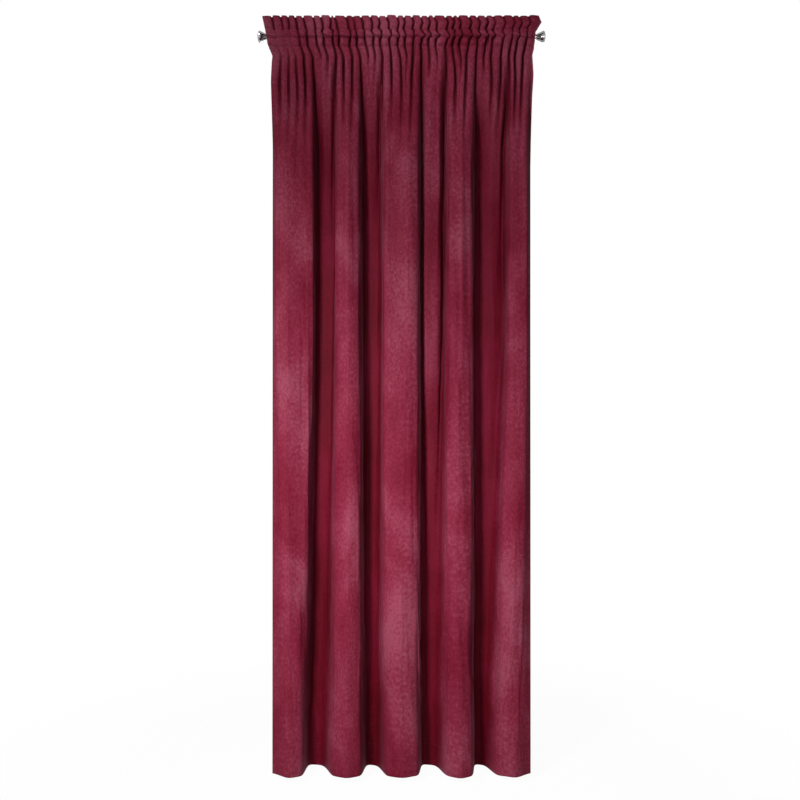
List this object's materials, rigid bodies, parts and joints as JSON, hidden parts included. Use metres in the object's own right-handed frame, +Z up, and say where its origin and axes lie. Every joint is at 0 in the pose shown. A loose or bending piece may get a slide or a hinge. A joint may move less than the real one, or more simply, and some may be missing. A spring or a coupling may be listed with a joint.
{
  "type": "room curtain panel",
  "caption": "Gathered velvet curtain panel with a frilled pencil-pleat heading, hung by tape loops on a slim chrome rod with trumpet finials.",
  "frame": {"origin": "on the rod's axis, at the middle of its length", "axes": "+X along the rod towards the leading edge, the curtain's front faces -Y, +Z up"},
  "size_m": [0.956, 0.1072, 2.5],
  "materials": {
    "velvet": "wine red velvet pile",
    "tape": "woven polyester gathering tape",
    "loop": "woven band",
    "cord": "braided polyester cord",
    "rod": "polished",
    "finial": "polished",
    "plug": "moulded"
  },
  "bodies": {
    "rod": {"rod_tube": "rod"},
    "finial_left": {"finial_left": "finial", "finial_plug_left": "plug"},
    "finial_right": {"finial_right": "finial", "finial_plug_right": "plug"},
    "curtain": {"draw_cord_upper": "cord", "draw_cord_middle": "cord", "draw_cord_lower": "cord"},
    "strip_01": {"velvet_01": "velvet", "tape_01": "tape", "tape_loop_01": "loop", "side_hem_left": "velvet"},
    "strip_02": {"velvet_02": "velvet", "tape_02": "tape", "tape_loop_02": "loop"},
    "strip_03": {"velvet_03": "velvet", "tape_03": "tape", "tape_loop_03": "loop"},
    "strip_04": {"velvet_04": "velvet", "tape_04": "tape", "tape_loop_04": "loop"},
    "strip_05": {"velvet_05": "velvet", "tape_05": "tape", "tape_loop_05": "loop"},
    "strip_06": {"velvet_06": "velvet", "tape_06": "tape", "tape_loop_06": "loop"},
    "strip_07": {"velvet_07": "velvet", "tape_07": "tape", "tape_loop_07": "loop"},
    "strip_08": {"velvet_08": "velvet", "tape_08": "tape", "tape_loop_08": "loop"},
    "strip_09": {"velvet_09": "velvet", "tape_09": "tape", "tape_loop_09": "loop"},
    "strip_10": {"velvet_10": "velvet", "tape_10": "tape", "tape_loop_10": "loop"},
    "strip_11": {"velvet_11": "velvet", "tape_11": "tape", "tape_loop_11": "loop", "side_hem_right": "velvet"}
  },
  "joints": [
    {"name": "finial_left_pull", "type": "slide", "parent": "rod", "child": "finial_left", "axis": [-1, 0, 0], "range_m": [0, 0.06]},
    {"name": "finial_right_pull", "type": "slide", "parent": "rod", "child": "finial_right", "axis": [1, 0, 0], "range_m": [0, 0.06]},
    {"name": "swing", "type": "hinge", "parent": "rod", "child": "curtain", "pos_m": [0, 0, 0], "axis": [1, 0, 0], "range_deg": [-10, 10]},
    {"name": "draw", "type": "slide", "parent": "curtain", "child": "strip_11", "axis": [-1, 0, 0], "range_m": [0, 0.57], "deforming": ["velvet_01", "tape_01", "velvet_02", "tape_02", "velvet_03", "tape_03", "velvet_04", "tape_04", "velvet_05", "tape_05", "velvet_06", "tape_06", "velvet_07", "tape_07", "velvet_08", "tape_08", "velvet_09", "tape_09", "velvet_10", "tape_10", "velvet_11", "tape_11", "side_hem_left", "side_hem_right", "draw_cord_upper", "draw_cord_middle", "draw_cord_lower"]},
    {"name": "slide_01", "type": "slide", "parent": "curtain", "child": "strip_01", "axis": [-1, 0, 0], "range_m": [0, 0.0098]},
    {"name": "slide_02", "type": "slide", "parent": "curtain", "child": "strip_02", "axis": [-1, 0, 0], "range_m": [0, 0.0658]},
    {"name": "slide_03", "type": "slide", "parent": "curtain", "child": "strip_03", "axis": [-1, 0, 0], "range_m": [0, 0.1219]},
    {"name": "slide_04", "type": "slide", "parent": "curtain", "child": "strip_04", "axis": [-1, 0, 0], "range_m": [0, 0.178]},
    {"name": "slide_05", "type": "slide", "parent": "curtain", "child": "strip_05", "axis": [-1, 0, 0], "range_m": [0, 0.2341]},
    {"name": "slide_06", "type": "slide", "parent": "curtain", "child": "strip_06", "axis": [-1, 0, 0], "range_m": [0, 0.2901]},
    {"name": "slide_07", "type": "slide", "parent": "curtain", "child": "strip_07", "axis": [-1, 0, 0], "range_m": [0, 0.3462]},
    {"name": "slide_08", "type": "slide", "parent": "curtain", "child": "strip_08", "axis": [-1, 0, 0], "range_m": [0, 0.4023]},
    {"name": "slide_09", "type": "slide", "parent": "curtain", "child": "strip_09", "axis": [-1, 0, 0], "range_m": [0, 0.4584]},
    {"name": "slide_10", "type": "slide", "parent": "curtain", "child": "strip_10", "axis": [-1, 0, 0], "range_m": [0, 0.5144]}
  ],
  "couplings": [
    {"joint": "slide_01", "follows": "draw", "ratio": 0.01627},
    {"joint": "slide_02", "follows": "draw", "ratio": 0.11464},
    {"joint": "slide_03", "follows": "draw", "ratio": 0.21301},
    {"joint": "slide_04", "follows": "draw", "ratio": 0.31139},
    {"joint": "slide_05", "follows": "draw", "ratio": 0.40976},
    {"joint": "slide_06", "follows": "draw", "ratio": 0.50813},
    {"joint": "slide_07", "follows": "draw", "ratio": 0.60651},
    {"joint": "slide_08", "follows": "draw", "ratio": 0.70488},
    {"joint": "slide_09", "follows": "draw", "ratio": 0.80325},
    {"joint": "slide_10", "follows": "draw", "ratio": 0.90163}
  ]
}
